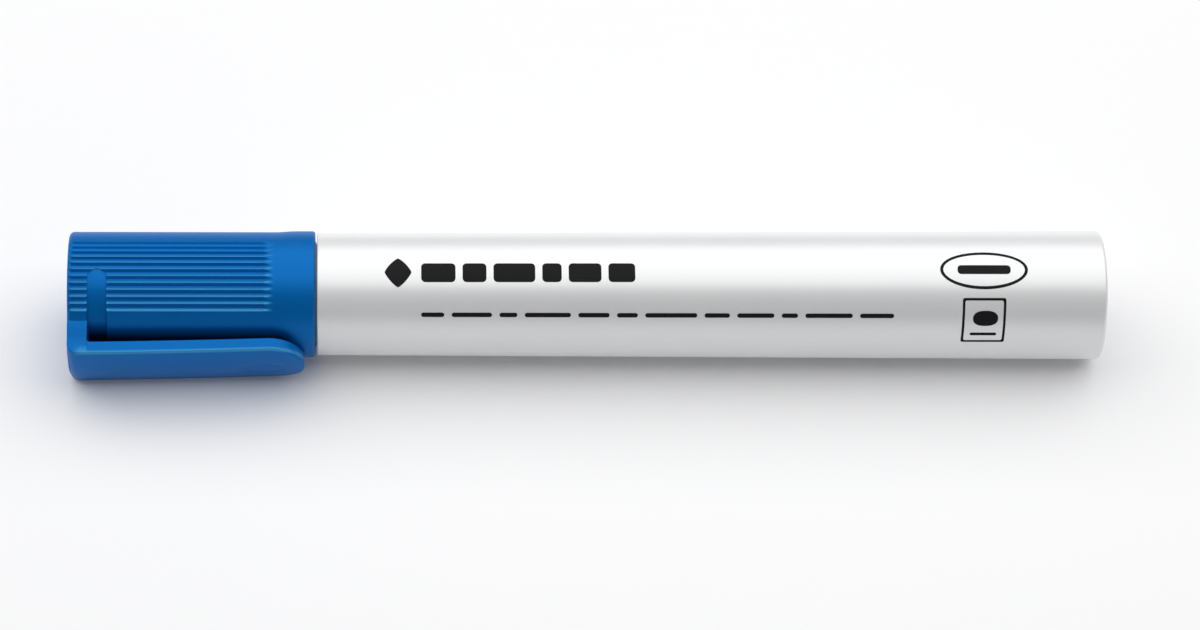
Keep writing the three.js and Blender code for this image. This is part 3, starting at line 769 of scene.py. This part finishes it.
def bar(long, wide, corner, count=12):
    # rounded bar outline: corner arcs joined by straight sides that are cut into short steps
    corners = [(1, 1, 0), (-1, 1, 90), (-1, -1, 180), (1, -1, 270)]
    points = []
    for sx, sy, start in corners:
        t = np.radians(np.linspace(start, start + 90, count // 3 + 1))
        middle = np.array([sx * (long / 2 - corner), sy * (wide / 2 - corner)])
        points.append(middle + corner * np.stack([np.cos(t), np.sin(t)], -1))
    closed = np.vstack([*points, points[0][:1]])
    out = []
    for a, b in zip(closed[:-1], closed[1:]):
        n = max(1, int(np.hypot(*(b - a)) / 0.8))
        out.append(a + (b - a) * np.linspace(0, 1, n, endpoint=False)[:, None])
    return np.vstack(out)


def inkPatch(centreU, centreS, outline, rings=7):
    # the outline scaled from its middle in rings on top of the barrel, then back just under the surface
    shares = np.linspace(0, 1, rings + 1)[1:]
    u, s = outline[:, 0], outline[:, 1]
    top = [onBarrel(centreU + u * k, centreS + s * k, printLook["lift"]) for k in shares]
    low = [onBarrel(centreU + u * k, centreS + s * k, -printLook["sink"]) for k in shares[::-1]]
    poles = [onBarrel(centreU, centreS, h) for h in (printLook["lift"], -printLook["sink"])]
    return outward(ringMesh(np.array(top + low), *poles))


def inkRing(centreU, centreS, outline, line):
    # the outline and the same outline drawn in by the line's width, joined over and under the surface
    size = outline.max(0) - outline.min(0)
    inner = outline * (1 - 2 * line / size)
    across = (outline, 0.5 * (outline + inner), inner)
    tracks = [(p, printLook["lift"]) for p in across] + [(p, -printLook["sink"]) for p in across[::-1]]
    rings = np.array([onBarrel(centreU + p[:, 0], centreS + p[:, 1], h) for p, h in tracks])
    return outward(ringMesh(rings, loop=True))


def arcAt(u, rise):
    # arc length of a line 'rise' degrees above the one that faces the viewer
    return math.radians(rise) * barrelRadius(u, barrelLook)


def buildPrint(look):
    # plain shapes in place of lettering: a lozenge, thick and thin bars, a barred oval, a box with a blob
    mark = look["lozenge"]
    lozenge = superOval(mark["long"], mark["wide"], mark["power"], 64)
    parts = [inkPatch(mark["u"], arcAt(mark["u"], mark["rise"]), lozenge)]
    for row in look["rows"]:
        at = row["u"]
        for long in row["lengths"]:
            outline = bar(long, row["wide"], row["corner"])
            parts.append(inkPatch(at + long / 2, arcAt(at, row["rise"]), outline, row["rings"]))
            at += long + row["gap"]
    mark = look["oval"]
    u, s = mark["u"], arcAt(mark["u"], mark["rise"])
    parts.append(inkRing(u, s, superOval(mark["long"], mark["wide"], 2.0, 120), mark["line"]))
    parts.append(inkPatch(u, s, bar(mark["barLong"], mark["barWide"], mark["barCorner"]), rings=3))
    mark = look["box"]
    u, s = mark["u"], arcAt(mark["u"], mark["rise"])
    parts.append(inkRing(u, s, bar(mark["long"], mark["wide"], mark["corner"], 24), mark["line"]))
    blob = superOval(mark["blobLong"], mark["blobWide"], mark["blobPower"], 48)
    parts.append(inkPatch(u + mark["blobU"], s + mark["blobUp"], blob, rings=4))
    line = bar(mark["barLong"], mark["barWide"], mark["barCorner"])
    parts.append(inkPatch(u, s - mark["barDown"], line, rings=1))
    return parts


inkPrint = makePiece("barrelPrint", buildPrint(printLook), finishes["printInk"], sharp=50)
settle(inkPrint, "barrel", "barrel_pearl")

# floor and panel in metres; the panel's angle is counted up from the horizon on the clip's side
floorLook = dict(size=4.0, color=(0.90, 0.90, 0.905, 1), rough=0.7, specular=0.1, glow=0.06)
panelLook = dict(angle=105.0, distance=0.62, long=2.2, wide=1.14, power=11.9)
worldLook = dict(color=(0.75, 0.77, 0.8, 1), strength=0.12)
cameraLook = dict(lens=141.0, distance=638.3, sideways=-33.6, aimU=1.75, aimDown=2.79, turnFromClip=70.0,
                  roll=0.06)


def buildFloor(look):
    # a flat square grid at z = 0
    steps = 5
    line = np.linspace(-look["size"] / 2, look["size"] / 2, steps)
    x, y = np.meshgrid(line, line, indexing="ij")
    verts = np.stack([x, y, np.zeros_like(x)], -1).reshape(-1, 3)
    ids = np.arange(steps * steps).reshape(steps, steps)
    quads = np.stack([ids[:-1, :-1], ids[1:, :-1], ids[1:, 1:], ids[:-1, 1:]], -1).reshape(-1, 4)
    mesh = bpy.data.meshes.new("floor")
    mesh.from_pydata(verts.tolist(), [], quads.tolist())
    material = bpy.data.materials.new("paleFloor")
    material.use_nodes = True
    shader = material.node_tree.nodes["Principled BSDF"]
    shader.inputs["Base Color"].default_value = look["color"]
    shader.inputs["Roughness"].default_value = look["rough"]
    shader.inputs["Specular IOR Level"].default_value = look["specular"]
    shader.inputs["Emission Color"].default_value = (1, 1, 1, 1)
    shader.inputs["Emission Strength"].default_value = look["glow"]
    mesh.materials.append(material)
    floor = bpy.data.objects.new("floor", mesh)
    bpy.context.scene.collection.objects.link(floor)


def buildPanel(look):
    # a large soft light above the marker and a little past it, facing its axis
    light = bpy.data.lights.new("panel", "AREA")
    light.shape = "RECTANGLE"
    light.size, light.size_y, light.energy = look["long"], look["wide"], look["power"]
    obj = bpy.data.objects.new("panel", light)
    angle = math.radians(look["angle"])
    away = Vector((0, -math.cos(angle), math.sin(angle)))
    obj.location = Vector((0, axisY, axisZ)) + away * look["distance"]
    obj.rotation_euler = away.to_track_quat("Z", "Y").to_euler()
    bpy.context.scene.collection.objects.link(obj)


def buildWorld(look):
    # an even, faintly blue surround
    world = bpy.data.worlds.new("world")
    world.use_nodes = True
    background = world.node_tree.nodes["Background"]
    background.inputs["Color"].default_value = look["color"]
    background.inputs["Strength"].default_value = look["strength"]
    bpy.context.scene.world = world


def buildCamera(look):
    # stands turnFromClip degrees round from the clip, to one side of the aim, and keeps the marker level
    rise = math.radians(look["turnFromClip"]) - roll
    back = Vector((0, -math.cos(rise), math.sin(rise)))
    up = Vector((0, math.sin(rise), math.cos(rise)))
    middle = (cadLow.x + cadHigh.x) / 2
    aim = Vector((middle + look["aimU"] * mm, axisY, axisZ)) - up * look["aimDown"] * mm
    stand = Vector((middle + look["sideways"] * mm, aim.y, aim.z)) + back * look["distance"] * mm
    data = bpy.data.cameras.new("camera")
    data.lens = look["lens"]
    data.sensor_width = 36
    data.clip_start, data.clip_end = 0.01, 20
    camera = bpy.data.objects.new("camera", data)
    ahead = (aim - stand).normalized()
    right = (Vector((1, 0, 0)) - ahead * ahead.x).normalized()
    top = right.cross(ahead)
    turn = Matrix(((right.x, top.x, -ahead.x), (right.y, top.y, -ahead.y), (right.z, top.z, -ahead.z)))
    camera.location = stand
    camera.rotation_euler = (turn @ Matrix.Rotation(math.radians(look["roll"]), 3, "Z")).to_euler()
    bpy.context.scene.collection.objects.link(camera)
    bpy.context.scene.camera = camera


buildFloor(floorLook)
buildCamera(cameraLook)
buildPanel(panelLook)
buildWorld(worldLook)
bpy.context.scene.view_settings.view_transform = "Standard"
print("stage set")
